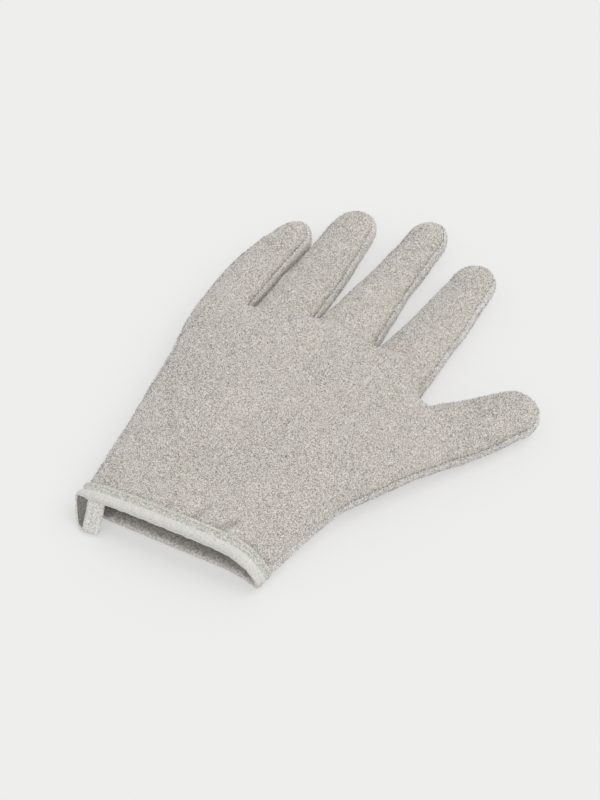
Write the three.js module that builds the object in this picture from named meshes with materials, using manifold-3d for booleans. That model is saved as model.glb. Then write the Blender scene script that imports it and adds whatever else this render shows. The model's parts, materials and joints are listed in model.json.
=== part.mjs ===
// A pet grooming glove: two plush panels sewn together round the hand's outline, a folded
// binding tape round the wrist opening, and a hanging loop of the same tape.
//
// Millimetres, +Z up. The glove lies flat, palm panel down, fingers along +Y, thumb towards +X.
// Dimensions are written with the middle of the wrist opening at X = 0, Y = 0. The finished group
// is shifted, so that the origin is the middle of the bottom of the whole object's box.
//
// The fabric is modelled as it lies when lightly puffed out: an outer skin and an inner skin
// WALL apart, cut at the seam height into back panel, seam and palm panel, and cut again where
// each finger bends. A finger turns upwards about an axis just under its back panel, and a
// V-notch above that axis leaves room for the fold.

import * as THREE from 'three';
import { mergeVertices } from 'three/addons/utils/BufferGeometryUtils.js';
import Module from 'manifold-3d';

// ---------------------------------------------------------------- driving dimensions

const WALL = 3;                 // plush fabric with its pile
const GAP = 0.3;                // between pieces that are sewn to each other
const SEAM_HEIGHT = 1;          // thickness of the sewn edge between the two panels

const RIM_SETBACK = 2.4;         // the lower edge of the opening lies this far behind the upper one
const RIM_SKEW = 4;             // degrees that the opening's edge is turned, thumb side forwards
const WRIST_THICKNESS = 18;
const BINDING_WIDTH = 8.5;      // how far the tape covers the panel from the edge
const BINDING_TURN = 1.8;       // how far the fold of the tape stands out past the panel's edge
const TAPE = 1.2;               // thickness of the tape on each side of the panel
const STITCH_INSET = 1.6;       // from the tape's edge to its stitch line
const STITCH = 0.6;             // thickness of the stitching thread

// The hand from the wrist to the finger roots: left and right edge, bottom, thickness, how square
// its section is, where 2 is an ellipse, and how much the thumb side of it droops to the floor.
const HAND = [
  { y: 0, left: -50.5, right: 47.5, base: 2.6, thick: 15.4, square: 2.4, droop: 0.8 },
  { y: 28, left: -53.5, right: 53, base: 1.6, thick: 19.4, square: 2.6, droop: 0.4 },
  { y: 57, left: -57.5, right: 60, base: 0, thick: 24, square: 2.8, droop: 0 },
  { y: 86, left: -62, right: 76.5, base: 0, thick: 25, square: 2.8, droop: 0 },
  { y: 110, left: -68, right: 91, base: 0, thick: 25, square: 2.8, droop: 0 },
  { y: 126, left: -70, right: 56, base: 0, thick: 24, square: 2.8, droop: 0 },
  { y: 137.5, left: -69, right: 50, base: 0.4, thick: 21, square: 2.8, droop: 0 },
  { y: 140.5, left: -64, right: 44, base: 3, thick: 14, square: 2.8, droop: 0 },
];
const FINGER_SQUARENESS = 2.3;
const FLOOR_DIP = 1;            // how much of the rounded bottom is pressed flat
const THINNEST = 6;             // where the hand is thinner than this it has no hollow

// Each finger: root and tip centre, half widths at root, middle and tip, the sideways bow of its
// centre line, the length of its rounded end, thickness at root and tip, and how far along the
// centre line, in millimetres, it bends.
const FINGERS = [
  { name: 'index', root: [37.6, 125], tip: [40.5, 213], half: [18.2, 15, 12], bow: 1,
    end: 14, thick: [21, 17.5], bend: 47, flex: 75 },
  { name: 'middle', root: [4.2, 125], tip: [5, 224], half: [21.5, 14.5, 11], bow: 0,
    end: 15.5, thick: [21, 17.5], bend: 48, flex: 75 },
  { name: 'ring', root: [-28.6, 125], tip: [-31, 211.5], half: [15, 14.8, 12], bow: 1,
    end: 15, thick: [21, 17], bend: 46, flex: 75 },
  { name: 'little', root: [-57.4, 120], tip: [-55, 187.5], half: [11.9, 13.1, 10.8], bow: -2.4,
    end: 15, thick: [20, 16.5], bend: 39, flex: 75 },
  { name: 'thumb', root: [43.6, 91.3], tip: [98.4, 151.5], half: [18.5, 18, 14.2], bow: 4.4,
    end: 15, thick: [22, 18], bend: 54, flex: 55 },
];
const NOTCH_SPARE = 3;          // degrees that the notch is wider than the bend
const NOTCH_REACH = 12;         // how far the notch's sides run above and below the fabric
const AROUND = 0.5;             // a finger's own fabric is what lies within its skin grown by this
const STATIONS = [0, 0.25, 0.5, 0.75, 1];
const END_TURNS = [28, 50, 68, 80];   // degrees round a finger's rounded end

// Height of the seam above the floor along the glove. The palm panel wraps up round the edges.
const SEAM_LINE = [[-12, 8.5], [28, 12], [57, 15.6], [78, 16.6], [96, 16.6], [120, 13.6], [250, 12.8]];

// Vertical zones that part the hand's seam into its six runs, as outlines in X and Y.
const SEAM_RUNS = {
  seam_little_side: [[-20, -20], [-20, 100], [-52, 120], [-56, 175], [-95, 175], [-95, -20]],
  seam_little_ring: [[-52, 120], [-26, 120], [-30, 180], [-56, 180]],
  seam_ring_middle: [[-25, 120], [4, 120], [4, 185], [-29, 185]],
  seam_middle_index: [[5.5, 120], [37, 120], [39, 185], [5.5, 185]],
  seam_index_thumb: [[40, 92], [125, 182], [125, 190], [40, 190]],
  seam_thumb_side: [[20, -20], [20, 71], [41, 91], [126, 181], [140, 181], [140, -20]],
};

// The loop's middle line from where it leaves the underside of the upper binding, down to its
// fold and up again to the corner of the opening.
const LOOP_PATH = [
  [-39.2, -5.6, 12.6], [-38.7, -7.4, 9.6], [-38.2, -10.2, 6], [-37.6, -12.8, 2.8],
  [-38.8, -13.2, 1.15], [-40.4, -11, 2.1], [-42.8, -8.2, 6.5], [-44.4, -6.5, 10.4],
  [-45.2, -5.9, 13.2],
];
const LOOP_WIDTH = 9;
const LOOP_THICKNESS = 1.5;
const LOOP_TURN = 12;           // degrees from +X to the direction of the loop's width
const LOOP_STEPS = 22;
const LOOP_HINGE = [-42.8, -5.8, 12.9];

const SIDES_HAND = { outside: 26, inside: 18 };
const SIDES_FINGER = { outside: 16, inside: 12 };
const REACH = 150;              // larger than half of anything here
const BELOW = -20;              // heights that are clear of the glove
const ABOVE = 60;
const WELD = 1e-5;              // points nearer than this are one point

const COLOURS = { plush: 0xbfb8b1, plushPalm: 0xbab4ae, thread: 0x8f8c86, tape: 0xcbcac4 };

// ---------------------------------------------------------------- solids

const wasm = await Module();
wasm.setup();

function toSolid(geometry) {
  const bare = new THREE.BufferGeometry();
  bare.setAttribute('position', geometry.getAttribute('position'));
  bare.setIndex(geometry.getIndex());
  const merged = mergeVertices(bare, WELD);
  return new wasm.Manifold(new wasm.Mesh({
    numProp: 3,
    vertProperties: Float32Array.from(merged.getAttribute('position').array),
    triVerts: Uint32Array.from(merged.getIndex().array),
  }));
}

function toGeometry(solid) {
  const mesh = solid.getMesh();
  const geometry = new THREE.BufferGeometry();
  geometry.setAttribute('position', new THREE.BufferAttribute(mesh.vertProperties, 3));
  geometry.setIndex(new THREE.BufferAttribute(mesh.triVerts, 1));
  geometry.computeVertexNormals();
  return geometry;
}

// A closed skin over a row of rings with equal numbers of points, each end closed by a fan.
function loft(rings) {
  const count = rings[0].length;
  const points = rings.flat();
  const triangles = [];
  for (let r = 0; r + 1 < rings.length; r += 1) {
    for (let i = 0; i < count; i += 1) {
      const next = (i + 1) % count;
      const [a, b] = [r * count + i, r * count + next];
      const [c, d] = [a + count, b + count];
      triangles.push(a, c, b, b, c, d);
    }
  }
  for (const [ring, start, first] of [[rings[0], 0, true], [rings.at(-1), points.length - count, false]]) {
    const centre = ring.reduce((sum, p) => sum.add(p), new THREE.Vector3()).divideScalar(count);
    points.push(centre);
    for (let i = 0; i < count; i += 1) {
      const [a, b] = [start + i, start + (i + 1) % count];
      triangles.push(points.length - 1, first ? a : b, first ? b : a);
    }
  }
  const geometry = new THREE.BufferGeometry().setFromPoints(points);
  geometry.setIndex(triangles);
  return toSolid(geometry);
}

// An upright prism over an outline of [x, y] points.
function prism(outline) {
  const shape = new THREE.Shape(outline.map(([x, y]) => new THREE.Vector2(x, y)));
  const geometry = new THREE.ExtrudeGeometry(shape, { depth: 2 * REACH, bevelEnabled: false });
  geometry.translate(0, 0, -REACH);
  return toSolid(geometry);
}

// A prism that runs across a finger: its outline has [distance along the finger, height] points.
function acrossPrism(outline, origin, angle) {
  const shape = new THREE.Shape(outline.map(([s, z]) => new THREE.Vector2(s, z)));
  const geometry = new THREE.ExtrudeGeometry(shape, { depth: 2 * REACH, bevelEnabled: false });
  geometry.translate(0, 0, -REACH);
  geometry.rotateX(Math.PI / 2);
  geometry.rotateZ(angle);
  geometry.translate(origin.x, origin.y, 0);
  return toSolid(geometry);
}

const power = (value, exponent) => Math.sign(value) * Math.abs(value) ** exponent;
const sidesFor = (sides, grow) => (grow < 0 ? sides.inside : sides.outside);

// A rounded-rectangle section as [across, height] pairs, with its underside pressed flat. With
// droop its widest place lies lower towards the right.
function section({ half, base, thick, square, droop = 0 }, sides) {
  const points = [];
  for (let i = 0; i < sides; i += 1) {
    const turn = (2 * Math.PI * i) / sides;
    const share = power(Math.cos(turn), 2 / square);
    const rise = (1 + power(Math.sin(turn), 2 / square)) / 2;
    const lowered = rise ** (1 + droop * Math.max(share, 0));
    points.push([half * share, Math.max(base, base - FLOOR_DIP + (thick + FLOOR_DIP) * lowered)]);
  }
  return points;
}

// The hand's skin, grown outwards by grow or shrunk when it is negative.
function handSolid(grow) {
  const stations = HAND.filter((s) => s.thick + 2 * grow > THINNEST);
  const first = { ...stations[0], y: stations[0].y - 2 * BINDING_WIDTH };
  const last = { ...stations.at(-1) };
  last.y += Math.min(grow, 0);
  const sides = sidesFor(SIDES_HAND, grow);
  const rings = [first, ...stations.slice(0, -1), last].map((s) => {
    const middle = (s.left + s.right) / 2;
    const half = (s.right - s.left) / 2 + grow;
    const grown = { ...s, half, base: s.base - grow, thick: s.thick + 2 * grow };
    const ring = section(grown, sides);
    return ring.map(([across, z]) => new THREE.Vector3(middle + across, s.y, z));
  });
  return loft(rings);
}

// The centre line of a finger: position, direction and across at a share s of its length.
function fingerLine(finger) {
  const root = new THREE.Vector2(...finger.root);
  const along = new THREE.Vector2(...finger.tip).sub(root);
  const length = along.length();
  along.normalize();
  return { root, along, length, across: new THREE.Vector2(along.y, -along.x) };
}

function fingerSolid(finger, grow) {
  const { root, along, length, across } = fingerLine(finger);
  const [rootHalf, middleHalf, tipHalf] = finger.half;
  const end = finger.end + grow;
  const sides = sidesFor(SIDES_FINGER, grow);
  const stations = [];
  for (const s of STATIONS) {
    const half = rootHalf * (1 - s) * (1 - 2 * s) + 4 * middleHalf * s * (1 - s)
      + tipHalf * s * (2 * s - 1);
    stations.push({ s, beyond: 0, half: half + grow, close: 1 });
  }
  for (const turn of END_TURNS) {
    const angle = (turn * Math.PI) / 180;
    const close = Math.cos(angle);
    stations.push({ s: 1, beyond: end * Math.sin(angle), half: (tipHalf + grow) * close, close });
  }
  const rings = stations.map(({ s, beyond, half, close }) => {
    const thick = THREE.MathUtils.lerp(finger.thick[0], finger.thick[1], s) + 2 * grow;
    const lift = (thick * (1 - close ** 0.75)) / 2;
    const centre = root.clone().addScaledVector(along, length * s + beyond);
    centre.addScaledVector(across, 4 * finger.bow * s * (1 - s));
    const shape = { half, base: lift - grow, thick: thick - 2 * lift, square: FINGER_SQUARENESS };
    const ring = section(shape, sides);
    return ring.map(([side, z]) => new THREE.Vector3(
      centre.x + across.x * side,
      centre.y + across.y * side,
      z,
    ));
  });
  return loft(rings);
}

// Everything above the seam line raised by lift.
function aboveSeam(lift) {
  const [first, last] = [SEAM_LINE[0], SEAM_LINE.at(-1)];
  const outline = SEAM_LINE.map(([y, z]) => [y, z + lift]);
  outline.push([last[0] + REACH, last[1] + lift], [last[0] + REACH, REACH]);
  outline.push([first[0] - REACH, REACH], [first[0] - REACH, first[1] + lift]);
  return acrossPrism(outline, { x: 0, y: 0 }, Math.PI / 2);
}

// Everything further in than the slanted, slightly turned rim of the opening, moved by shift.
function behindRim(shift) {
  const slope = RIM_SETBACK / WRIST_THICKNESS;
  const rim = (z) => RIM_SETBACK - slope * z + shift;
  const far = 2 * REACH;
  const outline = [[rim(BELOW), BELOW], [far, BELOW], [far, ABOVE], [rim(ABOVE), ABOVE]];
  return acrossPrism(outline, { x: 0, y: 0 }, THREE.MathUtils.degToRad(90 + RIM_SKEW));
}

function hingeOf(finger) {
  const { root, along, length } = fingerLine(finger);
  const thick = THREE.MathUtils.lerp(finger.thick[0], finger.thick[1], finger.bend / length);
  const point = root.clone().addScaledVector(along, finger.bend);
  return { point, along, height: thick - WALL, angle: Math.atan2(along.y, along.x) };
}

// Everything on the fingertip's side of the bend, with the sides of the notch moved by shift.
function beyondBend(finger, shift, notchSide) {
  const { point, height, angle } = hingeOf(finger);
  const half = THREE.MathUtils.degToRad((finger.flex + NOTCH_SPARE) / 2);
  const lean = notchSide * NOTCH_REACH * Math.tan(half);
  const top = height + NOTCH_REACH;
  const outline = [
    [shift, -NOTCH_REACH], [REACH, -NOTCH_REACH], [REACH, top], [shift + lean, top], [shift, height],
  ];
  return acrossPrism(outline, point, angle);
}

// ---------------------------------------------------------------- the glove

const joined = (solids) => solids.reduce((sum, solid) => sum.add(solid));

const outer = joined([handSolid(0), ...FINGERS.map((f) => fingerSolid(f, 0))]);
const inner = joined([handSolid(-WALL), ...FINGERS.map((f) => fingerSolid(f, -WALL))]);
const skin = outer.subtract(inner).intersect(behindRim(0));

const fingerSkins = {};
let handSkin = skin;
for (const finger of FINGERS) {
  const around = fingerSolid(finger, AROUND);
  fingerSkins[finger.name] = skin.intersect(around).intersect(beyondBend(finger, GAP / 2, 1));
  handSkin = handSkin.subtract(around.intersect(beyondBend(finger, -GAP / 2, -1)));
}

const aboveUpperEdge = aboveSeam(SEAM_HEIGHT / 2 + GAP);
const aboveSeamTop = aboveSeam(SEAM_HEIGHT / 2);
const aboveSeamBottom = aboveSeam(-SEAM_HEIGHT / 2);
const aboveLowerEdge = aboveSeam(-SEAM_HEIGHT / 2 - GAP);

const backOf = (cloth) => cloth.intersect(aboveUpperEdge);
const palmOf = (cloth) => cloth.subtract(aboveLowerEdge);
const seamOf = (cloth) => cloth.intersect(aboveSeamBottom).subtract(aboveSeamTop);

// The tape is folded over the edge of the opening, so it has a slot that the panels fill.
function bindingSolid() {
  const sleeve = handSolid(TAPE).subtract(handSolid(-WALL - TAPE));
  const slot = handSolid(GAP).subtract(handSolid(-WALL - GAP)).intersect(behindRim(-GAP));
  const band = behindRim(-BINDING_TURN).subtract(behindRim(BINDING_WIDTH));
  return sleeve.intersect(band).subtract(slot);
}

// One line of stitching round the outside of the tape, near its edge.
function topstitchSolid() {
  const thread = handSolid(TAPE + GAP + STITCH).subtract(handSolid(TAPE + GAP));
  const line = BINDING_WIDTH - STITCH_INSET;
  return thread.intersect(behindRim(line - STITCH).subtract(behindRim(line)));
}

function loopSolid() {
  const path = new THREE.CatmullRomCurve3(LOOP_PATH.map((p) => new THREE.Vector3(...p)));
  const turn = THREE.MathUtils.degToRad(LOOP_TURN);
  const width = new THREE.Vector3(Math.cos(turn), Math.sin(turn), 0);
  const rings = [];
  for (let i = 0; i <= LOOP_STEPS; i += 1) {
    const centre = path.getPointAt(i / LOOP_STEPS);
    const tangent = path.getTangentAt(i / LOOP_STEPS);
    const normal = new THREE.Vector3().crossVectors(width, tangent).normalize();
    const corner = (w, n) => centre.clone().addScaledVector(width, (w * LOOP_WIDTH) / 2)
      .addScaledVector(normal, (n * LOOP_THICKNESS) / 2);
    rings.push([corner(1, 1), corner(-1, 1), corner(-1, -1), corner(1, -1)]);
  }
  return loft(rings);
}

// ---------------------------------------------------------------- named meshes

const glove = new THREE.Group();
glove.name = 'grooming_glove';

const materials = {
  plush: new THREE.MeshStandardMaterial({ color: COLOURS.plush, roughness: 0.95, metalness: 0 }),
  plushPalm: new THREE.MeshStandardMaterial({ color: COLOURS.plushPalm, roughness: 0.95, metalness: 0 }),
  thread: new THREE.MeshStandardMaterial({ color: COLOURS.thread, roughness: 0.8, metalness: 0 }),
  tape: new THREE.MeshStandardMaterial({ color: COLOURS.tape, roughness: 0.7, metalness: 0 }),
};

function addPiece(name, solid, material) {
  const mesh = new THREE.Mesh(toGeometry(solid), material);
  mesh.name = name;
  glove.add(mesh);
}

addPiece('hand_back_panel', backOf(handSkin), materials.plush);
addPiece('hand_palm_panel', palmOf(handSkin), materials.plushPalm);
const handSeam = seamOf(handSkin);
for (const [name, outline] of Object.entries(SEAM_RUNS)) {
  addPiece(name, handSeam.intersect(prism(outline)), materials.thread);
}
for (const { name } of FINGERS) {
  addPiece(`${name}_back_panel`, backOf(fingerSkins[name]), materials.plush);
  addPiece(`${name}_palm_panel`, palmOf(fingerSkins[name]), materials.plushPalm);
  addPiece(`${name}_seam`, seamOf(fingerSkins[name]), materials.thread);
}
addPiece('wrist_binding', bindingSolid(), materials.tape);
addPiece('binding_topstitch', topstitchSolid(), materials.thread);
addPiece('hanging_loop', loopSolid(), materials.tape);

const box = new THREE.Box3().setFromObject(glove);
const centre = box.getCenter(new THREE.Vector3());
glove.position.set(-centre.x, -centre.y, -box.min.z);
glove.updateMatrixWorld(true);

// Where the joints are, in the finished frame: a point on each axis and the way the piece points.
glove.userData.hinges = FINGERS.map((finger) => {
  const { point, along, height } = hingeOf(finger);
  const at = new THREE.Vector3(point.x, point.y, height).add(glove.position);
  return { name: finger.name, at: at.toArray(), along: [along.x, along.y] };
});
const loopAt = new THREE.Vector3(...LOOP_HINGE).add(glove.position);
glove.userData.hinges.push({ name: 'hanging_loop', at: loopAt.toArray(), along: [0, -1] });

export default glove;
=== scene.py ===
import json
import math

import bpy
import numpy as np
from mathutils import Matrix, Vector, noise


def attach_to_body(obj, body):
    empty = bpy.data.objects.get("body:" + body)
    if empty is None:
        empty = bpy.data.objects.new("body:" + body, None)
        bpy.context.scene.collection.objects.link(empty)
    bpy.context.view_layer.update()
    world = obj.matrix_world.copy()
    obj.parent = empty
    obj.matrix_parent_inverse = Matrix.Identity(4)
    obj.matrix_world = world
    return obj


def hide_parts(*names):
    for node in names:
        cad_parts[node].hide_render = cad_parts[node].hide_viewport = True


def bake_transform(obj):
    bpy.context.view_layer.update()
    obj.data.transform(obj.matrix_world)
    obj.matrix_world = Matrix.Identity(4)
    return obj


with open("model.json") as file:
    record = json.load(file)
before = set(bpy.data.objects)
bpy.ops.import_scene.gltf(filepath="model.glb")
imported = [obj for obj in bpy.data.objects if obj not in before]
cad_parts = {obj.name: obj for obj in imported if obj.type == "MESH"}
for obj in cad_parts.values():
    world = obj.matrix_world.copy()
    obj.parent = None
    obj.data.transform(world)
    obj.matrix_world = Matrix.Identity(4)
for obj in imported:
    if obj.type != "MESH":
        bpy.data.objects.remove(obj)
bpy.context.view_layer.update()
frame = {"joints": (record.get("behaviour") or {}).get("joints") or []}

# A plush grooming glove lying flat. Its skin is the level surface of a smooth distance field made of
# the hand's and fingers' rounded sections, cut along the seam into back and palm panels. Lengths are
# in millimetres in the glove's own coordinates (middle of the wrist opening at X = 0, Y = 0) until
# new_piece() moves them to the frame, in metres.

rng = np.random.default_rng(41)

# ---------------------------------------------------------------- dimensions, in millimetres

HAND_Y = (-20, 0, 28, 57, 86, 110, 126, 138.5, 142)
HAND_LEFT = (-50.5, -50.5, -53.5, -57.5, -62, -68, -70, -69, -64)
HAND_RIGHT = (47.5, 47.5, 53, 60, 76.5, 91, 56, 50, 44)
HAND_BASE = (2.6, 2.6, 1.6, 0, 0, 0, 0, 0.4, 3)
HAND_THICK = (15.4, 15.4, 19.4, 24, 25, 25, 24, 21.5, 15)
HAND_SQUARE = (2.7, 2.7, 2.7, 2.8, 2.8, 2.8, 2.8, 2.8, 2.8)
HAND_DROOP = (1.3, 1.3, 0.5, 0, 0, 0, 0, 0, 0)       # how much lower the thumb's side of the section is
HAND_END_FROM = 122             # from here on the corners between stations stay sharp
WEB_X = (-55, -40, -15, 25, 50)
WEB_REACH = (-8, -6, 4, 7, 7)   # how much further the hand reaches between the fingers, at those X
WEB_FROM = 108                  # the reach begins at this Y, and is whole WEB_OVER further on
WEB_OVER = 20
FINGER_SQUARENESS = 2.3
FLOOR_DIP = 1                   # how much of the rounded bottom is pressed flat
ROOT_OVERLAP = 14               # how far a finger's section runs on inside the hand
ROOT_TAPER = 55                 # and the length over which it would narrow to nothing there
FINGER_BLEND = 2.4              # rounding between two fingers
HAND_BLEND = 3                  # and where the hand ends and a finger leaves it
FLOOR_BLEND = 2                 # and where the skin turns under

FINGERS = {
    "index": dict(root=(37.6, 125), tip=(40.5, 213), half=(18.2, 15, 12), bow=1, end=14,
                  thick=(21, 17.5), bend=47),
    "middle": dict(root=(4.2, 125), tip=(5, 224), half=(21.5, 14.5, 11), bow=0, end=15.5,
                   thick=(21, 17.5), bend=48),
    "ring": dict(root=(-28.6, 125), tip=(-31, 211.5), half=(15, 14.8, 12), bow=1, end=15,
                 thick=(21, 17), bend=46),
    "little": dict(root=(-57.2, 120), tip=(-55, 187.5), half=(11.9, 13.1, 10.8), bow=-2.4, end=15,
                   thick=(20, 16.5), bend=39),
    "thumb": dict(root=(43.6, 91.3), tip=(98.4, 151.5), half=(18.5, 18, 14.2), bow=4.4, end=15,
                  thick=(22, 18), bend=54),
}
BEND_REACH = 17                 # a finger's own pieces begin this far before its hinge, round which its fabric bends

SEAM_Y = (-12, 28, 57, 78, 96, 120, 250)
SEAM_Z = (8.5, 12, 15.6, 16.6, 16.6, 13.6, 12.8)
SEAM_SHOWS_FROM = 52            # in Y, on the thumb's side, fading in over SEAM_FADE
SEAM_FADE = 16
SEAM_DROP = (0.4, 2.6)          # how far the visible seam sinks at the fingers, and at the thumb's side
THUMB_SIDE_Y = (92, 112)
THUMB_SIDE = (44, 64)           # the thumb's side begins at this X

RIM_START = 0.8                 # the rim's Y at X = 0, at the top
RIM_SETBACK = 0.8               # the lower edge of the opening lies this far behind the upper one
RIM_SKEW = math.radians(7)      # how far the rim is turned, thumb side forwards
RIM_BOW = 0.0076                # how the rim's thumb end curves back, past RIM_BOW_FROM in X
RIM_BOW_FROM = 25
WRIST_THICKNESS = 18
BINDING_WIDTH = 8.5             # how far the tape covers the panel from the rim
PANEL_START = 1.6               # the panels begin this far in from the rim, inside the tape

LOOP_PATH = (
    (-39.5, -4.0, 14.4), (-39.2, -5.6, 12.6), (-38.7, -7.4, 9.6), (-38.2, -10.2, 6), (-37.6, -12.8, 2.8),
    (-38.9, -13.6, 1.5), (-41.6, -11.8, 2.2), (-44.2, -8.8, 6.5), (-45.4, -7.0, 10.4),
    (-45.9, -6.1, 12.6), (-46.2, -4.8, 14.4),
)
LOOP_WIDTH = 9
LOOP_THICKNESS = 2.6
LOOP_TURN = math.radians(12)    # from +X to the direction of the loop's width
LOOP_STEP = 0.7                 # between the rings of its mesh
LOOP_SIDES = 20                 # and the points round each ring

VOXEL = 0.9                     # grid of the distance field
SKIN_DEPTH = 0.8                # the pile's roots lie this far under its outline
GRID_LOW = (-82, -14, -3)
GRID_HIGH = (124, 246, 29)

JOINTS = {joint["name"]: joint for joint in frame["joints"]}


def finger_axis(finger):
    """Root, direction, sideways direction and length of a finger's centre line, seen from above."""
    root = np.array(finger["root"], float)
    along = np.array(finger["tip"], float) - root
    length = np.hypot(*along)
    along /= length
    return root, along, np.array((along[1], -along[0])), length


def half_width(finger, t):
    """Half the width at a share t of the finger's length: a curve through root, middle and tip."""
    root, middle, tip = finger["half"]
    return root * (1 - t) * (1 - 2 * t) + 4 * middle * t * (1 - t) + tip * t * (2 * t - 1)


def frame_shift():
    """From glove coordinates to the frame, in millimetres, found from the middle finger's joint."""
    root, along, _, _ = finger_axis(FINGERS["middle"])
    hinge = root + along * FINGERS["middle"]["bend"]
    place = JOINTS["middle_bend"]["pos_m"]
    return np.array((place[0] * 1000 - hinge[0], place[1] * 1000 - hinge[1], 0))


SHIFT = frame_shift()


def to_frame(points):
    return (np.asarray(points, float) + SHIFT) / 1000


# ---------------------------------------------------------------- the glove as a distance field

def smooth_min(a, b, width):
    """The smaller of two distances, rounded where they are about equal."""
    blend = np.maximum(width - np.abs(a - b), 0)
    return np.minimum(a, b) - blend * blend / (4 * width)


def smooth_max(a, b, width):
    return -smooth_min(-a, -b, width)


def smooth_profile(values, y, sigma=4, reach=18):
    """A hand dimension along y, with the corners between its stations rounded."""
    fine = np.arange(-40, 200, 1.0)
    line = np.interp(fine, HAND_Y, values)
    kernel = np.exp(-0.5 * (np.arange(-reach, reach + 1) / sigma) ** 2)
    kernel /= kernel.sum()
    rounded = np.convolve(np.pad(line, reach, mode="edge"), kernel, mode="valid")
    near_end = np.clip((fine - HAND_END_FROM) / 8, 0, 1)
    return np.interp(y, fine, rounded * (1 - near_end) + line * near_end)


def as_distance(ratio, cap=14):
    """Turns a field that is 1 on the surface into millimetres from it."""
    slope = np.sqrt(sum(g * g for g in np.gradient(ratio, VOXEL)))
    return np.clip((ratio - 1) / np.maximum(slope, 1e-3), -cap, cap)


def hand_field(x, y, z):
    """Distance from the hand alone, whose sections are rounded rectangles."""
    y = y - np.interp(x, WEB_X, WEB_REACH) * np.clip((y - WEB_FROM) / WEB_OVER, 0, 1)
    left, right = smooth_profile(HAND_LEFT, y), smooth_profile(HAND_RIGHT, y)
    base, thick = smooth_profile(HAND_BASE, y), smooth_profile(HAND_THICK, y)
    half = (right - left) / 2
    tall = (thick + FLOOR_DIP) / 2
    across = (x - (left + right) / 2) / half
    rise = np.maximum((z - base + FLOOR_DIP) / (2 * tall), 0)
    droop = 1 + smooth_profile(HAND_DROOP, y) * np.clip(across, 0, 1) ** 2
    up = np.abs(2 * rise ** (1 / droop) - 1) + np.maximum(base - FLOOR_DIP - z, 0) / tall
    across = np.abs(across)
    square = smooth_profile(HAND_SQUARE, y)
    ratio = (across ** square + up ** square) ** (1 / square)
    field = smooth_max(as_distance(ratio), y - HAND_Y[-1], HAND_BLEND)
    return smooth_max(field, base - z, FLOOR_BLEND)


def finger_field(finger, x, y, z):
    """Distance from one finger alone, with its rounded end."""
    root, along, across, length = finger_axis(finger)
    s = (x - root[0]) * along[0] + (y - root[1]) * along[1]
    t = np.clip(s / length, 0, 1)
    side = (x - root[0]) * across[0] + (y - root[1]) * across[1] - 4 * finger["bow"] * t * (1 - t)
    beyond = np.maximum(s - length, 0) / finger["end"]
    half = half_width(finger, t) * (1 + np.minimum(s, 0) / ROOT_TAPER)
    flat = ((side / half) ** 2 + beyond ** 2) ** (FINGER_SQUARENESS / 2)
    tall = (finger["thick"][0] * (1 - t) + finger["thick"][1] * t + FLOOR_DIP) / 2
    up = np.abs(z - tall + FLOOR_DIP) / tall
    ratio = (flat + up ** FINGER_SQUARENESS) ** (1 / FINGER_SQUARENESS)
    field = np.maximum(as_distance(ratio), -ROOT_OVERLAP - s)
    return smooth_max(field, -z, FLOOR_BLEND)


def blurred(field, rounds):
    """The field with each value mixed with its neighbours."""
    for _ in range(rounds):
        for axis in range(3):
            padded = np.pad(field, [(1, 1) if i == axis else (0, 0) for i in range(3)], mode="edge")
            n = field.shape[axis]
            low = np.take(padded, range(0, n), axis)
            high = np.take(padded, range(2, n + 2), axis)
            field = field / 2 + (low + high) / 4
    return field


def glove_field():
    """Distance from the glove's outline on the grid, in millimetres and negative inside."""
    axes = [np.arange(low, high, VOXEL, dtype=np.float32) for low, high in zip(GRID_LOW, GRID_HIGH)]
    x, y, z = axes[0][:, None, None], axes[1][None, :, None], axes[2][None, None, :]
    hand = hand_field(x, y, z)
    fingers = None
    for finger in FINGERS.values():
        one = finger_field(finger, x, y, z)
        fingers = one if fingers is None else smooth_min(fingers, one, FINGER_BLEND)
    return blurred(smooth_min(hand, fingers, HAND_BLEND), 2)


class Field:
    """The distance field on its grid, read between grid points."""

    def __init__(self, values):
        self.values = values
        self.slopes = np.gradient(values, VOXEL)
        self.low = np.array(GRID_LOW, float)

    def read(self, grids, points):
        place = (points - self.low) / VOXEL
        corner = np.clip(np.floor(place).astype(int), 0, np.array(self.values.shape) - 2)
        part = np.clip(place - corner, 0, 1)
        out = np.zeros((len(grids), len(points)))
        for dx in (0, 1):
            for dy in (0, 1):
                for dz in (0, 1):
                    weight = (np.where(dx, part[:, 0], 1 - part[:, 0])
                              * np.where(dy, part[:, 1], 1 - part[:, 1])
                              * np.where(dz, part[:, 2], 1 - part[:, 2]))
                    at = (corner[:, 0] + dx, corner[:, 1] + dy, corner[:, 2] + dz)
                    for i, grid in enumerate(grids):
                        out[i] += weight * grid[at]
        return out

    def settle(self, points, level=0.0, flat=False):
        """Moves points onto the surface at that level, sideways only when flat."""
        reading = self.read([self.values, *self.slopes], points)
        slope = reading[1:].T.copy()
        if flat:
            slope[:, 2] = 0
        size = np.maximum((slope ** 2).sum(1), 0.08)
        step = np.clip((reading[0] - level) / size, -1, 1)
        return points - step[:, None] * slope


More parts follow.
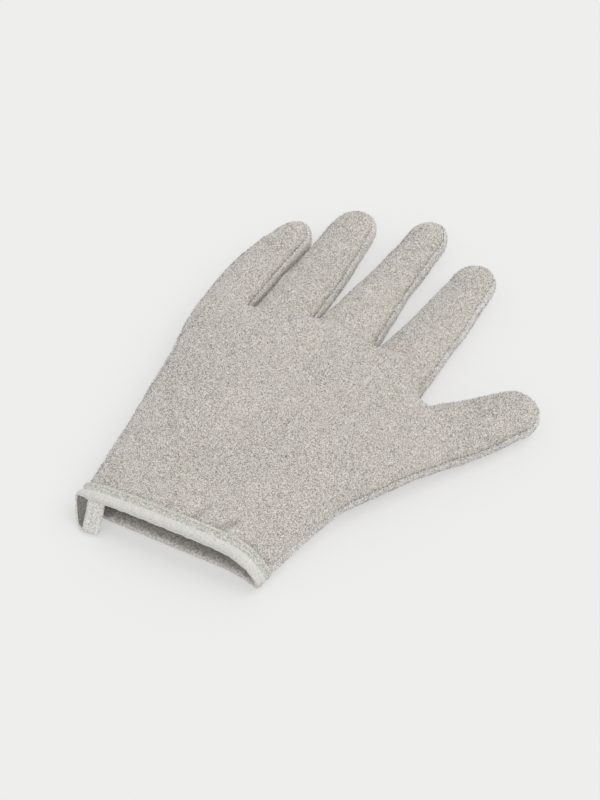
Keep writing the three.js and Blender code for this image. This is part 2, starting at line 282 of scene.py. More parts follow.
def surface_net(values, level, spacing):
    """Vertices and outward quads of the surface where values equal level."""
    values = values - level
    shape = np.array(values.shape)
    total = np.zeros((values.size, 3))
    count = np.zeros(values.size)
    quads = []
    for axis in range(3):
        first, second = (axis + 1) % 3, (axis + 2) % 3
        near = np.take(values, range(0, shape[axis] - 1), axis)
        far = np.take(values, range(1, shape[axis]), axis)
        crossing = np.argwhere((near < 0) != (far < 0))
        crossing = crossing[(crossing[:, first] > 0) & (crossing[:, second] > 0)]
        a = near[tuple(crossing.T)]
        b = far[tuple(crossing.T)]
        point = crossing.astype(float)
        point[:, axis] += a / (a - b)
        step_1, step_2 = np.eye(3, dtype=int)[first], np.eye(3, dtype=int)[second]
        cells = [crossing, crossing - step_1, crossing - step_1 - step_2, crossing - step_2]
        cells = np.stack([np.ravel_multi_index(tuple(c.T), shape) for c in cells], 1)
        for corner in range(4):
            np.add.at(total, cells[:, corner], point)
            np.add.at(count, cells[:, corner], 1)
        quads.append(np.where((a < 0)[:, None], cells, cells[:, ::-1]))
    quads = np.concatenate(quads)
    used, inverse = np.unique(quads, return_inverse=True)
    points = total[used] / count[used][:, None] * spacing + np.array(GRID_LOW)
    return points, inverse.reshape(quads.shape)


# ---------------------------------------------------------------- mesh helpers

def quad_edges(quads):
    pairs = np.concatenate([quads[:, [i, (i + 1) % 4]] for i in range(4)])
    return np.unique(np.sort(pairs, 1), axis=0)


def shared_edges(quads, is_back):
    """The edges that a back quad and a palm quad share."""
    pairs = np.concatenate([quads[:, [i, (i + 1) % 4]] for i in range(4)])
    low, high = pairs.min(1), pairs.max(1)
    key = low * (quads.max() + 1) + high
    side = np.tile(is_back, 4)
    common = np.intersect1d(np.unique(key[side]), np.unique(key[~side]))
    return np.stack([common // (quads.max() + 1), common % (quads.max() + 1)], 1)


def vertex_normals(points, quads):
    a, b, c, d = (points[quads[:, i]] for i in range(4))
    face = np.cross(c - a, d - b)
    normals = np.zeros_like(points)
    for i in range(4):
        np.add.at(normals, quads[:, i], face)
    return normals / np.maximum(np.linalg.norm(normals, axis=1), 1e-9)[:, None]


def neighbour_mean(points, edges):
    n = len(points)
    count = np.bincount(edges.ravel(), minlength=n)
    mean = np.empty_like(points)
    for k in range(3):
        mean[:, k] = (np.bincount(edges[:, 0], points[edges[:, 1], k], n)
                      + np.bincount(edges[:, 1], points[edges[:, 0], k], n))
    return mean / np.maximum(count, 1)[:, None]


def new_piece(name, points, faces, materials, normals=None, shades=None):
    """A mesh object in the frame, from glove coordinates, smooth shaded."""
    mesh = bpy.data.meshes.new(name)
    mesh.from_pydata(to_frame(points), [], faces.tolist() if hasattr(faces, "tolist") else faces)
    mesh.polygons.foreach_set("use_smooth", np.ones(len(mesh.polygons), bool))
    for material in materials:
        mesh.materials.append(material)
    if shades is not None:
        mesh.polygons.foreach_set("material_index", np.asarray(shades, np.int32))
    mesh.update()
    if normals is not None:
        mesh.normals_split_custom_set_from_vertices(normals.tolist())
    piece = bpy.data.objects.new(name, mesh)
    bpy.context.scene.collection.objects.link(piece)
    return piece


def part_of(points, quads, chosen, normals):
    """The chosen quads with only their own vertices."""
    used, inverse = np.unique(quads[chosen], return_inverse=True)
    return points[used], inverse.reshape(-1, 4), normals[used]


def attach(piece, owner):
    """Rides on the hand; a finger's piece only gets its transform baked into its mesh."""
    if owner == "hand":
        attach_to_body(piece, "hand")
        return
    finger = FINGERS[owner]
    root, along, _, _ = finger_axis(finger)
    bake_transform(piece)


# ---------------------------------------------------------------- materials

def node_material(name, base, roughness, sheen=0.0, specular=0.3):
    material = bpy.data.materials.new(name)
    material.use_nodes = True
    shader = material.node_tree.nodes["Principled BSDF"]
    shader.inputs["Base Color"].default_value = (*base, 1)
    shader.inputs["Roughness"].default_value = roughness
    shader.inputs["Specular IOR Level"].default_value = specular
    shader.inputs["Sheen Weight"].default_value = sheen
    shader.inputs["Sheen Roughness"].default_value = 0.5
    return material, material.node_tree, shader


def noise_node(tree, scale, detail, coordinates):
    node = tree.nodes.new("ShaderNodeTexNoise")
    node.inputs["Scale"].default_value = scale
    node.inputs["Detail"].default_value = detail
    tree.links.new(coordinates, node.inputs["Vector"])
    return node.outputs["Fac"]


def colour_ramp(tree, factor, stops):
    ramp = tree.nodes.new("ShaderNodeValToRGB")
    elements = ramp.color_ramp.elements
    while len(elements) < len(stops):
        elements.new(0.5)
    for element, (place, colour) in zip(elements, stops):
        element.position = place
        element.color = (*colour, 1)
    tree.links.new(factor, ramp.inputs["Fac"])
    return ramp.outputs["Color"]


def mixed(tree, kind, factor, a, b):
    node = tree.nodes.new("ShaderNodeMix")
    node.data_type = "RGBA"
    node.blend_type = kind
    node.inputs["Factor"].default_value = factor
    tree.links.new(a, node.inputs["A"])
    tree.links.new(b, node.inputs["B"])
    return node.outputs["Result"]


def add_bump(tree, shader, height, strength, distance, under=None):
    bump = tree.nodes.new("ShaderNodeBump")
    bump.inputs["Strength"].default_value = strength
    bump.inputs["Distance"].default_value = distance
    tree.links.new(height, bump.inputs["Height"])
    if under is not None:
        tree.links.new(under, bump.inputs["Normal"])
    tree.links.new(bump.outputs["Normal"], shader.inputs["Normal"])
    return bump.outputs["Normal"]


PLUSH_TONES = ((0.34, 0.31, 0.28), (0.62, 0.578, 0.535), (0.86, 0.815, 0.765))
PLUSH_STOPS = (0.34, 0.5, 0.66)
PATCH_TONES = ((0.49, 0.495, 0.47), (0.5, 0.5, 0.5), (0.515, 0.51, 0.50))
PATCH_STOPS = (0.36, 0.5, 0.66)
GRAIN_SCALE = 1750              # noise scales, in cells per metre
TUFT_SCALE = 1100
PATCH_SCALE = 42
WHITEST = 0.97
PILE_TONES = {"light": (0.96, 0.905, 0.85), "middle": (0.63, 0.583, 0.54), "dark": (0.15, 0.135, 0.12)}


def brighter(colour, times):
    return tuple(min(c * times, WHITEST) for c in colour)


def plush_material(name, lighter):
    """Short pile: a fine grain of three tones over broad, faint warm and cool patches."""
    material, tree, shader = node_material(name, PLUSH_TONES[1], 0.92, sheen=0.5, specular=0.15)
    place = tree.nodes.new("ShaderNodeTexCoord").outputs["Object"]
    grain = noise_node(tree, GRAIN_SCALE, 2, place)
    patches = noise_node(tree, PATCH_SCALE, 3, place)
    # lighter: painted light, the palm copy's tones raised for the light its edge misses
    tones = [brighter(tone, lighter) for tone in PLUSH_TONES]
    fine = colour_ramp(tree, grain, list(zip(PLUSH_STOPS, tones)))
    broad = colour_ramp(tree, patches, list(zip(PATCH_STOPS, PATCH_TONES)))
    tree.links.new(mixed(tree, "SOFT_LIGHT", 0.8, fine, broad), shader.inputs["Base Color"])
    coarse = add_bump(tree, shader, noise_node(tree, TUFT_SCALE, 2, place), 0.5, 0.0005)
    add_bump(tree, shader, grain, 0.7, 0.0004, under=coarse)
    return material


def pile_materials(side, lighter):
    """The pile's fibre tips in three shades."""
    shades = []
    for name, tone in PILE_TONES.items():
        # lighter: painted light, the palm copy's shades raised for the light its edge misses
        colour = brighter(tone, lighter)
        shades.append(node_material(f"pile_{side}_{name}", colour, 0.9, sheen=0.55, specular=0.1)[0])
    return shades


KNIT = (0.36, 0.34, 0.31)
KNIT_VALLEY = (0.22, 0.20, 0.18)
KNIT_RIB = (0.47, 0.44, 0.40)
RIB_SCALE = 250


def knit_material():
    """The backing inside the glove: ribs that run towards the fingers."""
    material, tree, shader = node_material("knit_backing", KNIT, 0.95, sheen=0.1)
    place = tree.nodes.new("ShaderNodeTexCoord").outputs["Object"]
    ribs = tree.nodes.new("ShaderNodeTexWave")
    ribs.bands_direction = "X"
    ribs.inputs["Scale"].default_value = RIB_SCALE
    ribs.inputs["Distortion"].default_value = 0.6
    ribs.inputs["Detail"].default_value = 1
    tree.links.new(place, ribs.inputs["Vector"])
    colour = colour_ramp(tree, ribs.outputs["Fac"], [(0.2, KNIT_VALLEY), (0.8, KNIT_RIB)])
    tree.links.new(colour, shader.inputs["Base Color"])
    add_bump(tree, shader, ribs.outputs["Fac"], 0.7, 0.0005)
    return material


def tape_material(name, base, scale, contrast):
    """Fine knit tape: a small close grain and a soft shine."""
    material, tree, shader = node_material(name, base, 0.62, sheen=0.2, specular=0.35)
    place = tree.nodes.new("ShaderNodeTexCoord").outputs["Object"]
    grain = noise_node(tree, scale, 2, place)
    darker, lighter = [c * (1 - contrast) for c in base], [min(c * (1 + contrast), 1) for c in base]
    tree.links.new(colour_ramp(tree, grain, [(0.35, darker), (0.65, lighter)]), shader.inputs["Base Color"])
    add_bump(tree, shader, grain, 0.35, 0.0003)
    return material


def thread_material(name, base):
    material, tree, shader = node_material(name, base, 0.7, sheen=0.1)
    place = tree.nodes.new("ShaderNodeTexCoord").outputs["Object"]
    twist = noise_node(tree, 2600, 1, place)
    darker, lighter = [c * 0.75 for c in base], [c * 1.2 for c in base]
    tree.links.new(colour_ramp(tree, twist, [(0.4, darker), (0.6, lighter)]), shader.inputs["Base Color"])
    add_bump(tree, shader, twist, 0.4, 0.0002)
    return material


PAINTED_LIGHT_GAIN = {"back": 1, "palm": 1.2}      # painted light: the palm panel's edge catches less light, so its plush and pile are coloured paler to look as pale
plush = {side: plush_material("plush_" + side, lighter) for side, lighter in PAINTED_LIGHT_GAIN.items()}
pile_shades = {side: pile_materials(side, lighter) for side, lighter in PAINTED_LIGHT_GAIN.items()}
knit = knit_material()
binding_tape = tape_material("binding_tape", (0.68, 0.67, 0.63), 1500, 0.12)
binding_band = tape_material("binding_band", (0.58, 0.57, 0.525), 1300, 0.3)
# the lower lip's tone: partly its grainy, plush-like look, partly painted shade
binding_lip_shaded = tape_material("binding_lip_shaded", (0.60, 0.565, 0.525), 1100, 0.32)
loop_tape = tape_material("loop_tape", (0.72, 0.71, 0.665), 1200, 0.28)
# painted shade: a dark tape colour standing in for the shadow inside the loop
loop_painted_shade = tape_material("loop_painted_shade", (0.22, 0.21, 0.19), 1200, 0.28)
# the seam thread: a real thread, coloured dark partly as painted shade of the pits it sinks into
seam_thread = thread_material("seam_thread", (0.34, 0.31, 0.285))
edge_thread = thread_material("edge_thread", (0.60, 0.595, 0.55))


# ---------------------------------------------------------------- camera, lights and floor

CAMERA_AZIMUTH = math.radians(33)
CAMERA_ELEVATION = math.radians(52.6)
CAMERA_DISTANCE = 1.152
CAMERA_TARGET = (7.6, 101.2, 12)        # in glove coordinates


def add_camera():
    camera = bpy.data.objects.new("camera", bpy.data.cameras.new("camera"))
    camera.data.lens = 105
    back = Vector((math.sin(CAMERA_AZIMUTH) * math.cos(CAMERA_ELEVATION),
                   -math.cos(CAMERA_AZIMUTH) * math.cos(CAMERA_ELEVATION),
                   math.sin(CAMERA_ELEVATION)))
    camera.location = Vector(to_frame(CAMERA_TARGET)) + back * CAMERA_DISTANCE
    camera.rotation_mode = "QUATERNION"
    camera.rotation_quaternion = (-back).to_track_quat("-Z", "Y")
    bpy.context.scene.collection.objects.link(camera)
    bpy.context.scene.camera = camera


def add_soft_sun(name, toward, share, spread):
    """An even light from that direction, which gives that share of the floor's whole brightness."""
    toward = Vector(toward).normalized()
    light = bpy.data.objects.new(name, bpy.data.lights.new(name, "SUN"))
    light.data.angle = math.radians(spread)
    light.data.energy = share * math.pi / toward.z
    light.location = toward
    light.rotation_mode = "QUATERNION"
    light.rotation_quaternion = (-toward).to_track_quat("-Z", "Y")
    bpy.context.scene.collection.objects.link(light)


FLOOR_COLOUR = (0.86, 0.86, 0.855)
FLOOR_LIT = 0.52                # the rest shines by itself, like a light table, so shadows are faint
FLOOR_REACH = 4                 # metres
WORLD_STRENGTH = 0.74
KEY_TOWARD = (0.62, 0.62, 1.3)
KEY_SHARE = 0.25
KEY_SPREAD = 55                 # degrees


def add_floor():
    mesh = bpy.data.meshes.new("floor")
    corners = [(x * FLOOR_REACH, y * FLOOR_REACH, 0) for x, y in ((-1, -1), (1, -1), (1, 1), (-1, 1))]
    mesh.from_pydata(corners, [], [(0, 1, 2, 3)])
    floor = bpy.data.objects.new("floor", mesh)
    pale, _, shader = node_material("floor", [c * FLOOR_LIT for c in FLOOR_COLOUR], 0.9, specular=0)
    shader.inputs["Emission Color"].default_value = (*FLOOR_COLOUR, 1)
    shader.inputs["Emission Strength"].default_value = 1 - FLOOR_LIT
    mesh.materials.append(pale)
    bpy.context.scene.collection.objects.link(floor)
    return floor


def add_world(strength):
    world = bpy.data.worlds.new("world")
    world.use_nodes = True
    world.node_tree.nodes["Background"].inputs["Color"].default_value = (1, 1, 1, 1)
    world.node_tree.nodes["Background"].inputs["Strength"].default_value = strength
    bpy.context.scene.world = world


add_camera()
floor = add_floor()
add_world(WORLD_STRENGTH)
add_soft_sun("key_light", KEY_TOWARD, KEY_SHARE, KEY_SPREAD)
bpy.context.scene.view_settings.view_transform = "Standard"


# ---------------------------------------------------------------- the skin

def seam_height(x, y):
    """Height of the visible seam, which sinks lower from THUMB_SIDE on."""
    side = np.interp(y, THUMB_SIDE_Y, THUMB_SIDE)
    thumbward = np.clip((x - side) / 10, 0, 1)
    return np.interp(y, SEAM_Y, SEAM_Z) - SEAM_DROP[0] - (SEAM_DROP[1] - SEAM_DROP[0]) * thumbward


def rim_line(x, z):
    """Where the rim of the wrist opening crosses, in Y, at that X and height."""
    bow = RIM_BOW * np.maximum(x - RIM_BOW_FROM, 0) ** 2
    return RIM_START + math.tan(RIM_SKEW) * x - bow + RIM_SETBACK * (1 - z / WRIST_THICKNESS)


def behind_rim(points):
    """How far points lie in from the slanted, slightly turned rim of the wrist opening."""
    return (points[:, 1] - rim_line(points[:, 0], points[:, 2])) * math.cos(RIM_SKEW)


def owner_of(points):
    """0 for the hand, or 1 and up for the nearest finger, past the start of its bending stretch."""
    owner = np.zeros(len(points), int)
    best = np.full(len(points), np.inf)
    for number, finger in enumerate(FINGERS.values(), 1):
        root, along, across, length = finger_axis(finger)
        s = (points[:, :2] - root) @ along
        t = np.clip(s / length, 0, 1)
        side = (points[:, :2] - root) @ across - 4 * finger["bow"] * t * (1 - t)
        off = np.abs(side) / half_width(finger, t)
        nearer = off < best
        owner[nearer] = np.where(s > finger["bend"] - BEND_REACH, number, 0)[nearer]
        best[nearer] = off[nearer]
    return owner


# The gathers behind the binding: each valley's two ends in X and Y, its depth and its breadth.
GATHERS = (
    ((5.8, 9), (8.8, 22), 1.9, 3.4),
    ((18.5, 10), (26.8, 22.5), 2.2, 3.4),
    ((-8, 8), (-10, 19), 0.6, 3.6),
    ((33, 8), (38, 18), 0.5, 3.4),
)
GATHERS_ABOVE = 12              # they are on the upper side only


def bell(distance, width):
    return np.exp(-(distance / width) ** 2)


def gathers(points):
    """How deep the soft gathers are, as short valleys with a swelling on each side."""
    depth = np.zeros(len(points))
    for start, end, valley, reach in GATHERS:
        a, b = np.array(start, float), np.array(end, float)
        line = b - a
        along = np.clip((points[:, :2] - a) @ line / (line @ line), 0, 1)
        gap = points[:, :2] - a - along[:, None] * line
        side = gap @ np.array((line[1], -line[0])) / np.hypot(*line)
        far = np.hypot(gap[:, 0], gap[:, 1])
        fade = np.sin(np.pi * np.clip(0.12 + 0.88 * along, 0, 1)) ** 0.7
        ridge = 0.6 * bell(side - 1.3 * reach, reach) + 0.4 * bell(side + 1.3 * reach, reach)
        depth += fade * valley * (bell(far, 0.42 * reach) - ridge * (far < 3 * reach))
    return depth * (points[:, 2] > GATHERS_ABOVE)


def seam_shows(points):
    """The thumb side's seam is lost in the pile near the wrist."""
    lost = np.clip((SEAM_SHOWS_FROM + SEAM_FADE / 2 - points[:, 1]) / SEAM_FADE, 0, 0.9)
    return 1 - lost * (points[:, 0] > 0)


def wavy(points, size, seed):
    """Smooth random heights, about -1 to 1, whose bumps have that size."""
    offset = Vector((seed * 7.1, seed * 3.7, seed * 1.9))
    return np.array([noise.noise(Vector(p) / size + offset) for p in points.tolist()])


SKIN_ROUNDS = 14                # of evening out the mesh along the surface
SEAM_GROOVE = 0.8               # depth of the seam's groove, and half its breadth
SEAM_HALF = 0.7
SEAM_SWELL = 0.25               # height of the swelling beside it
PUCKER = 0.38                   # height of the waves that the sewing draws up
SLACK = (0.75, 0.28)            # height of the broad and the small unevenness of the cloth
TUCK = 0.5                      # how far the tape's edge presses the panel in
PALM_LIFT = 0.15                # the palm panel's least height over the floor


def smooth_skin(field):
    """The level surface, evened out, with a row of vertices along the seam."""
    points, quads = surface_net(field.values, -SKIN_DEPTH, VOXEL)
    edges = quad_edges(quads)
    centre = points[quads].mean(1)
    is_back = centre[:, 2] > seam_height(centre[:, 0], centre[:, 1])
    on_back, on_palm = np.zeros(len(points), bool), np.zeros(len(points), bool)
    on_back[quads[is_back].ravel()] = True
    on_palm[quads[~is_back].ravel()] = True
    seam = on_back & on_palm
    seam_edges = shared_edges(quads, is_back)
    for _ in range(SKIN_ROUNDS):
        pull = neighbour_mean(points, edges)
        pull[seam] = neighbour_mean(points, seam_edges)[seam]
        points = points + (pull - points) * 0.5
        points[seam, 2] = seam_height(points[seam, 0], points[seam, 1])
        points[~seam] = field.settle(points[~seam], -SKIN_DEPTH)
        points[seam] = field.settle(points[seam], -SKIN_DEPTH, flat=True)
    return points, quads, is_back, seam, seam_edges


def relief(points, normals, seam):
    """How far the sewn cloth stands out from the smooth skin: groove, puckers, slack and gathers."""
    steep = np.sqrt(np.maximum(1 - normals[:, 2] ** 2, 0.09))
    from_seam = np.abs(points[:, 2] - seam_height(points[:, 0], points[:, 1])) / steep
    from_seam[seam] = 0
    pinch = np.clip(0.75 + 1.1 * wavy(points, 3.2, 4), 0.2, 1.3) * seam_shows(points)
    groove = SEAM_SWELL * bell(from_seam - 3.2, 1.8) - SEAM_GROOVE * pinch * bell(from_seam, SEAM_HALF)
    pucker = PUCKER * wavy(points, 5.5, 1) * np.exp(-from_seam / 3.5)
    slack = SLACK[0] * wavy(points, 21, 2) + SLACK[1] * wavy(points, 8, 3)
    off_floor = np.clip(points[:, 2] / 3, 0, 1)
    tucked = TUCK * bell(behind_rim(points) - BINDING_WIDTH - 0.4, 1.2)
    return groove + (pucker + slack - tucked) * off_floor - gathers(points)


def make_skin():
    field = Field(glove_field())
    points, quads, is_back, seam, seam_edges = smooth_skin(field)
    normals = vertex_normals(points, quads)
    points = points + normals * relief(points, normals, seam)[:, None]
    points[:, 2] = np.maximum(points[:, 2], PALM_LIFT)
    return field, points, quads, is_back, seam_edges


skin_field, skin_points, skin_quads, quad_is_back, seam_edges = make_skin()
skin_normals = vertex_normals(skin_points, skin_quads)
quad_centre = skin_points[skin_quads].mean(1)
quad_owner = owner_of(quad_centre)
quad_inside = behind_rim(quad_centre) > PANEL_START
OWNERS = ["hand", *FINGERS]


def add_panels():
    """A back and a palm panel for the hand and for each finger."""
    pieces = {}
    for number, owner in enumerate(OWNERS):
        for side, of_side in (("back", quad_is_back), ("palm", ~quad_is_back)):
            chosen = (quad_owner == number) & of_side & quad_inside
            points, quads, normals = part_of(skin_points, skin_quads, chosen, skin_normals)
            piece = new_piece(f"{owner}_{side}", points, quads, [plush[side]], normals)
            attach(piece, owner)
            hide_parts(f"{owner}_{side}_panel")
            pieces[owner, side] = piece
    return pieces


panels = add_panels()


# ---------------------------------------------------------------- pile

PILE_DENSITY = 2.6              # tufts per square millimetre
PILE_DENSITY_BELOW = 0.25       # where it is pressed on the floor
PRESSED_BELOW = 1.2
PILE_LENGTH = (0.5, 1.0)
PILE_LEAN = 0.55
PILE_RADIUS = 0.175
PILE_ROOT = 0.25                # how far a tuft starts under the panel's face
SHADE_LIMITS = (0.42, 0.71)     # a tuft is light below the first, and dark above the second
TIP_SHADE_SPOT = 12                   # painted shade near each tip: how far back its middle lies, its reach and depth
TIP_SHADE_REACH = {"finger": 11, "thumb": 24}
TIP_SHADE_DEPTH = 0.3


def mottle_and_tip_shade(points):
    """How much darker the pile is coloured: broad random patches, and painted shade at the fingertips and
    the thumb's end.
    """
    dark = 0.55 * wavy(points, 24, 6) + 0.25 * wavy(points, 9, 7)
    for name, finger in FINGERS.items():
        root, along, _, length = finger_axis(finger)
        spot = root + along * (length - TIP_SHADE_SPOT)
        reach = TIP_SHADE_REACH["thumb" if name == "thumb" else "finger"]
        dark += TIP_SHADE_DEPTH * np.exp(-(((points[:, :2] - spot) ** 2).sum(1)) / reach ** 2)
    return dark


def add_pile(owner, side, chosen):
    """Short tufts that stand up from the chosen quads, each a thin three-sided cone."""
    quads = skin_quads[chosen]
    a, b, c, d = (skin_points[quads[:, i]] for i in range(4))
    area = np.linalg.norm(np.cross(c - a, d - b), axis=1) / 2
    pressed = quad_centre[chosen][:, 2] < PRESSED_BELOW
    wanted = area * np.where(pressed, PILE_DENSITY_BELOW, PILE_DENSITY)
    pick = rng.choice(len(quads), size=int(wanted.sum()), p=wanted / wanted.sum())
    u, v = rng.random(len(pick))[:, None], rng.random(len(pick))[:, None]
    root = (a[pick] * (1 - u) + b[pick] * u) * (1 - v) + (d[pick] * (1 - u) + c[pick] * u) * v
    up = skin_normals[quads[pick, 0]]
    lean = rng.normal(0, PILE_LEAN, (len(pick), 3))
    length = rng.uniform(*PILE_LENGTH, len(pick))[:, None]
    direction = up + lean
    direction /= np.linalg.norm(direction, axis=1)[:, None]
    tip = root + direction * length
    sideways = np.cross(up, rng.normal(0, 1, (len(pick), 3)))
    sideways /= np.linalg.norm(sideways, axis=1)[:, None]
    other = np.cross(up, sideways)
    corners = []
    for turn in (0, 2 * math.pi / 3, 4 * math.pi / 3):
        outwards = sideways * math.cos(turn) + other * math.sin(turn)
        corners.append(root - up * PILE_ROOT + PILE_RADIUS * outwards)
    points = np.stack([*corners, tip], 1).reshape(-1, 3)
    points[:, 2] = np.maximum(points[:, 2], 0.05)
    first = np.arange(len(pick))[:, None] * 4
    faces = np.concatenate([first + np.array(f) for f in ((0, 1, 3), (1, 2, 3), (2, 0, 3), (0, 2, 1))])
    # each tuft's shade: random, tilted by the broad patches and by the painted tip shade
    dark = mottle_and_tip_shade(root) * 0.35 + rng.random(len(pick))
    shade = np.digitize(dark, SHADE_LIMITS)
    piece = new_piece(f"{owner}_{side}_pile", points, faces, pile_shades[side], shades=np.tile(shade, 4))
    attach(piece, owner)
    return piece


piles = {}
for number, owner in enumerate(OWNERS):
    for side, of_side in (("back", quad_is_back), ("palm", ~quad_is_back)):
        own = (quad_owner == number) & of_side & (behind_rim(quad_centre) > BINDING_WIDTH - 1)
        piles[owner, side] = add_pile(owner, side, own)


# ---------------------------------------------------------------- knit backing inside the hand

LINING_DEPTH = 2.7
LINING_GRID = 2                 # it takes only every second grid point of the field


def add_lining():
    """The inner face of the fabric, from the binding up to where the fingers bend."""
    values = skin_field.values[::LINING_GRID, ::LINING_GRID, ::LINING_GRID]
    points, quads = surface_net(values, -LINING_DEPTH, VOXEL * LINING_GRID)
    edges = quad_edges(quads)
    for _ in range(4):
        points = points + (neighbour_mean(points, edges) - points) * 0.5
        points = skin_field.settle(points, level=-LINING_DEPTH)
    centre = points[quads].mean(1)
    chosen = (owner_of(centre) == 0) & (behind_rim(centre) > BINDING_WIDTH - 1)
    used, inverse = np.unique(quads[chosen], return_inverse=True)
    piece = new_piece("knit_backing", points[used], inverse.reshape(-1, 4)[:, ::-1], [knit])
    attach(piece, "hand")
    return piece


lining = add_lining()


# ---------------------------------------------------------------- seams

STITCH_PITCH = 2.2
STITCH_LENGTH = 1.3
STITCH_RADIUS = 0.26
SEAM_NAMES = ("seam_little_side", "seam_little_ring", "seam_ring_middle", "seam_middle_index",
              "seam_index_thumb", "seam_thumb_side")


def chain(edges):
    """The seam's vertices in order, from the little finger's side of the wrist round to the thumb's."""
    links = {}
    for a, b in edges.tolist():
        links.setdefault(a, []).append(b)
        links.setdefault(b, []).append(a)
    ends = [v for v, around in links.items() if len(around) == 1]
    best = []
    for start in ends:
        path, last, here = [start], None, start
        while True:
            onward = [v for v in links[here] if v != last and v not in path[-3:]]
            if not onward:
                break
            last, here = here, onward[0]
            path.append(here)
            if here == start:
                break
        if len(path) > len(best):
            best = path
    line = skin_points[best]
    return best if line[0, 0] < line[-1, 0] else best[::-1]


def resample(line, pitch):
    step = np.r_[0, np.cumsum(np.linalg.norm(np.diff(line, axis=0), axis=1))]
    at = np.linspace(0, step[-1], max(2, int(step[-1] / pitch) + 1))
    return np.stack([np.interp(at, step, line[:, k]) for k in range(line.shape[1])], 1)


def rounded_bar(centre, along, up, length, radius, sides=6):
    """A short stitch, round in section and tapered to both ends."""
    across = np.cross(along, up)
    stations = ((-0.5, 0.25), (-0.36, 0.85), (0, 1.1), (0.36, 0.85), (0.5, 0.25))
    points, faces = [], []
    for reach, thick in stations:
        sag = up * radius * 0.9 * (1 - 4 * reach * reach)
        for k in range(sides):
            turn = 2 * math.pi * k / sides
            points.append(centre + along * length * reach + sag
                          + radius * thick * (across * math.cos(turn) + up * math.sin(turn)))
    for r in range(len(stations) - 1):
        for k in range(sides):
            n = (k + 1) % sides
            faces.append((r * sides + k, r * sides + n, (r + 1) * sides + n, (r + 1) * sides + k))
    faces.append(tuple(range(sides))[::-1])
    faces.append(tuple(range((len(stations) - 1) * sides, len(stations) * sides)))
    return points, faces


def stitch_mesh(line, ups, pitch, length, radius):
    """Stitches one after another along a line."""
    both = resample(np.hstack([line, ups]), pitch / 2)
    points, faces = [], []
    for i in range(1, len(both) - 1, 2):
        centre, up = both[i, :3], both[i, 3:]
        along = both[i + 1, :3] - both[i - 1, :3]
        along /= max(np.linalg.norm(along), 1e-9)
        up = up - along * (up @ along)
        up /= max(np.linalg.norm(up), 1e-9)
        some, more = rounded_bar(centre, along, up, length * rng.uniform(0.6, 1.15), radius)
        start = len(points)
        points += some
        faces += [tuple(v + start for v in face) for face in more]
    return np.array(points), faces


def add_seams():
    """Stitches along the whole seam, as one piece for each of its runs."""
    path = np.array(chain(seam_edges))
    line = skin_points[path]
    for _ in range(3):
        line[1:-1] = line[1:-1] / 2 + (line[:-2] + line[2:]) / 4
    ups = skin_normals[path]
    keep = (behind_rim(line) > BINDING_WIDTH - 2) & ((line[:, 0] < 0) | (line[:, 1] > SEAM_SHOWS_FROM))
    line, ups = line[keep], ups[keep]
    owners = owner_of(line)
    starts = np.r_[0, np.flatnonzero(np.diff(owners)) + 1, len(owners)]
    hand_runs = iter(SEAM_NAMES)
    pieces = {owner: [] for owner in OWNERS}
    for first, last in zip(starts[:-1], starts[1:]):
        owner = OWNERS[owners[first]]
        node = next(hand_runs) if owner == "hand" else owner + "_seam"
        if last - first < 4:
            continue
        part = slice(first, last)
        points, faces = stitch_mesh(line[part], ups[part], STITCH_PITCH, STITCH_LENGTH, STITCH_RADIUS)
        piece = new_piece(node + "_stitches", points, faces, [seam_thread])
        attach(piece, owner)
        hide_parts(node)
        pieces[owner].append(piece)
    return pieces


seam_pieces = add_seams()


# ---------------------------------------------------------------- wrist binding

def wrist_section(turn, y, grow):
    """A point of the hand's section at y, grown outwards."""
    left, right = np.interp(y, HAND_Y, HAND_LEFT), np.interp(y, HAND_Y, HAND_RIGHT)
    base, thick = np.interp(y, HAND_Y, HAND_BASE), np.interp(y, HAND_Y, HAND_THICK)
    power = 2 / np.interp(y, HAND_Y, HAND_SQUARE)
    cos, sin = np.cos(turn), np.sin(turn)
    share = np.sign(cos) * np.abs(cos) ** power
    grow = np.where(grow > 0, grow * (1 - 0.6 * np.maximum(share, 0) ** 4), grow)
    half, tall = (right - left) / 2 + grow, thick + 2 * grow + FLOOR_DIP
    rise = (1 + np.sign(sin) * np.abs(sin) ** power) / 2
    droop = 1 + np.interp(y, HAND_Y, HAND_DROOP) * np.maximum(share, 0) ** 2
    z = base - grow - FLOOR_DIP + tall * rise ** droop
    return (left + right) / 2 + half * share, np.maximum(z, base - grow)


def even_turns(count):
    """Angles that are evenly spaced along the section."""
    turn = np.linspace(0, 2 * math.pi, 4001)
    x, z = wrist_section(turn, 4, 0)
    far = np.r_[0, np.cumsum(np.hypot(np.diff(x), np.diff(z)))]
    return np.interp(np.linspace(0, far[-1], count, endpoint=False), far, turn)


def at_rim(turn, inwards, grow):
    """Points round the opening, that far in from its rim and out from the panel."""
    y = np.full_like(turn, 4.0)
    for _ in range(4):
        x, z = wrist_section(turn, y, grow)
        y = rim_line(x, z) + inwards / math.cos(RIM_SKEW)
    return np.stack([x, y, z], 1)


BAND_STEPS = 7                  # the profile's first points are the stitched band, up to the dip
TUBE_END = 21                   # and from here on they are the side against the wrist
LIP_TOP = 7                     # below this height the tape takes a darker, warmer, grainier lip colour: partly its grainy look, partly painted shade


